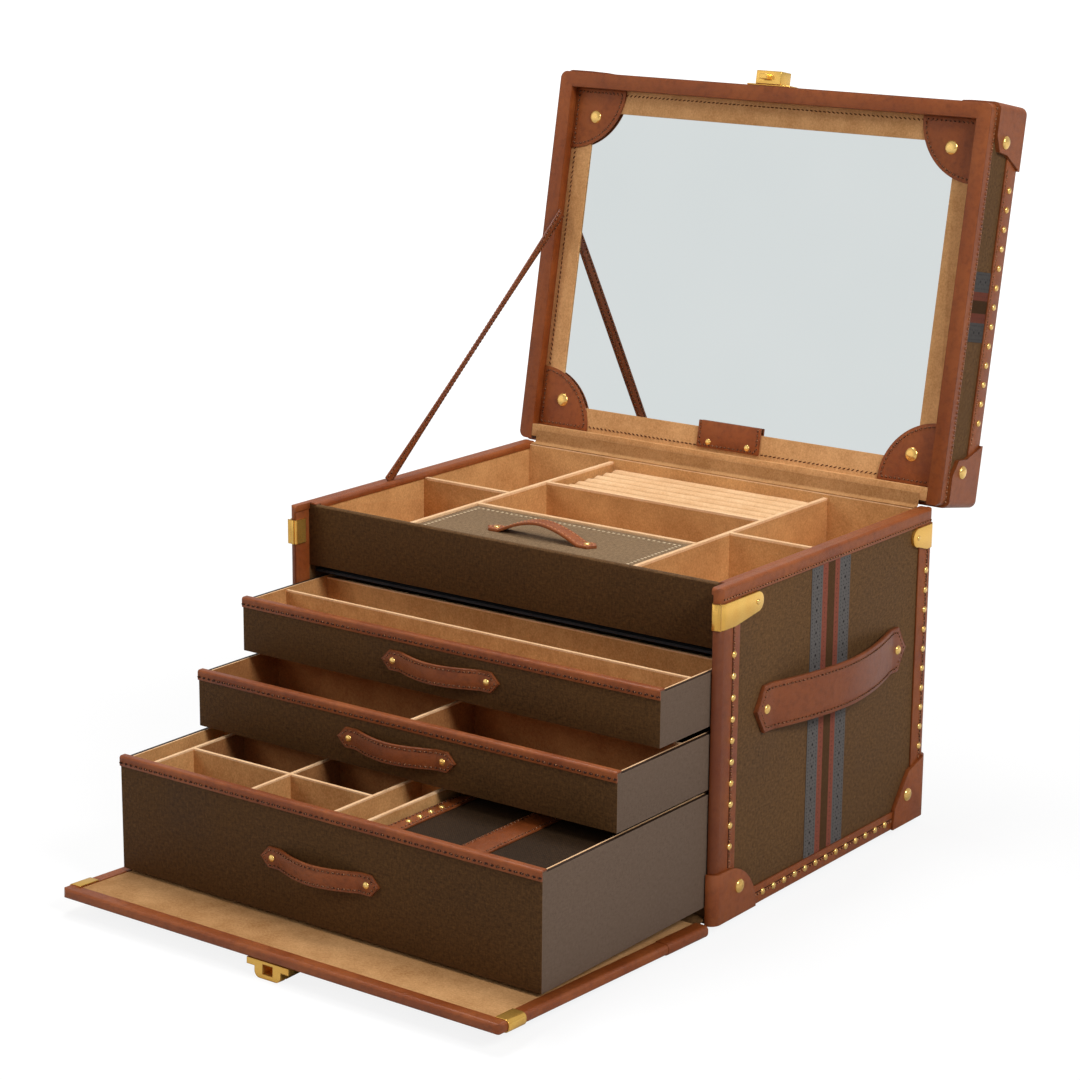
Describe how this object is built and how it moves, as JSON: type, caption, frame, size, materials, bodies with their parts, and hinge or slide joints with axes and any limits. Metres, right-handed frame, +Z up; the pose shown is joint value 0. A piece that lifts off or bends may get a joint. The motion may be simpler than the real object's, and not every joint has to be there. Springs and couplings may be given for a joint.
{
  "type": "jewellery case",
  "caption": "Trunk-style leather and canvas jewellery case with a mirror lid, a divided top tray, stepped drawers and a fold-down front flap.",
  "frame": {"origin": "middle of the open case's bounding box, on the surface it stands on", "axes": "+Z up, the front with the flap and drawers towards -Y, +X to the right seen from the front"},
  "size_m": [0.3624, 0.5576, 0.482],
  "materials": {
    "board": "thin board covered with olive-brown coated canvas",
    "suede_board": "beige suede over card",
    "suede": "beige suede",
    "hide": "tan vegetable-tanned leather, stitched",
    "brass": "polished brass",
    "webbing": "woven stripe",
    "canvas": "olive-brown coated canvas",
    "mirror": "silvered flat glass"
  },
  "bodies": {
    "case": {"base_board": "board", "left_wall": "board", "right_wall": "board", "back_wall": "board", "shelves": "board", "feet": "brass", "tray_front": "board", "tray_lining": "suede_board", "tray_dividers": "suede_board", "ring_rolls": "suede_board", "top_bindings": "hide", "side_edgings": "hide", "bottom_bands": "hide", "corner_patches": "hide", "corner_brackets": "brass", "case_rivets": "brass", "case_studs": "brass", "side_handles": "hide", "case_stripes": "webbing", "hinge_lining": "suede", "hinge_leather": "hide", "stay_strap": "hide", "flap_gusset": "webbing"},
    "lid": {"lid_shell": "board", "lid_bindings": "hide", "lid_corner_patches": "hide", "lid_rivets": "brass", "lid_studs": "brass", "lid_stripes": "webbing", "mirror_frame": "suede_board", "mirror_glass": "mirror", "mirror_corners": "hide", "lid_tab": "hide", "lid_lock": "brass"},
    "flap": {"flap_board": "board", "flap_lining": "suede_board", "flap_binding": "hide", "flap_clips": "brass", "latch_box": "brass"},
    "latch_button": {"latch_button": "brass"},
    "tray_lid": {"tray_lid": "canvas", "tray_lid_handle": "hide", "tray_lid_rivets": "brass"},
    "drawer_1": {"drawer_1_box": "board", "drawer_1_insert": "suede_board", "drawer_1_binding": "hide", "drawer_1_pull": "hide", "drawer_1_rivets": "brass"},
    "drawer_2": {"drawer_2_box": "board", "drawer_2_insert": "suede_board", "drawer_2_binding": "hide", "drawer_2_pull": "hide", "drawer_2_rivets": "brass"},
    "drawer_3": {"drawer_3_box": "board", "drawer_3_insert": "suede_board", "drawer_3_binding": "hide", "drawer_3_pull": "hide", "drawer_3_rivets": "brass", "travel_case": "canvas", "travel_case_straps": "hide"}
  },
  "joints": [
    {"name": "lid_hinge", "type": "hinge", "parent": "case", "child": "lid", "pos_m": [0, 0.18591, 0.2165], "axis": [-1, 0, 0], "range_deg": [-100.5, 0], "deforming": ["stay_strap", "hinge_leather", "hinge_lining"]},
    {"name": "flap_hinge", "type": "hinge", "parent": "case", "child": "flap", "pos_m": [0, -0.07089, 0.0056], "axis": [-1, 0, 0], "range_deg": [0, 0.3], "deforming": ["flap_gusset"]},
    {"name": "latch_press", "type": "slide", "parent": "flap", "child": "latch_button", "axis": [0, 0.0419, 0.9991], "range_m": [0, 0.0012], "stiffness_N_per_m": 300},
    {"name": "drawer_1_slide", "type": "slide", "parent": "case", "child": "drawer_1", "axis": [0, -1, 0], "range_m": [-0.0655, 0.13]},
    {"name": "drawer_2_slide", "type": "slide", "parent": "case", "child": "drawer_2", "axis": [0, -1, 0], "range_m": [-0.1075, 0.09]},
    {"name": "drawer_3_slide", "type": "slide", "parent": "case", "child": "drawer_3", "axis": [0, -1, 0], "range_m": [-0.178, 0.015]},
    {"name": "tray_lid_lift", "type": "slide", "parent": "case", "child": "tray_lid", "axis": [0, 0, 1], "range_m": [0, 0.08]}
  ]
}
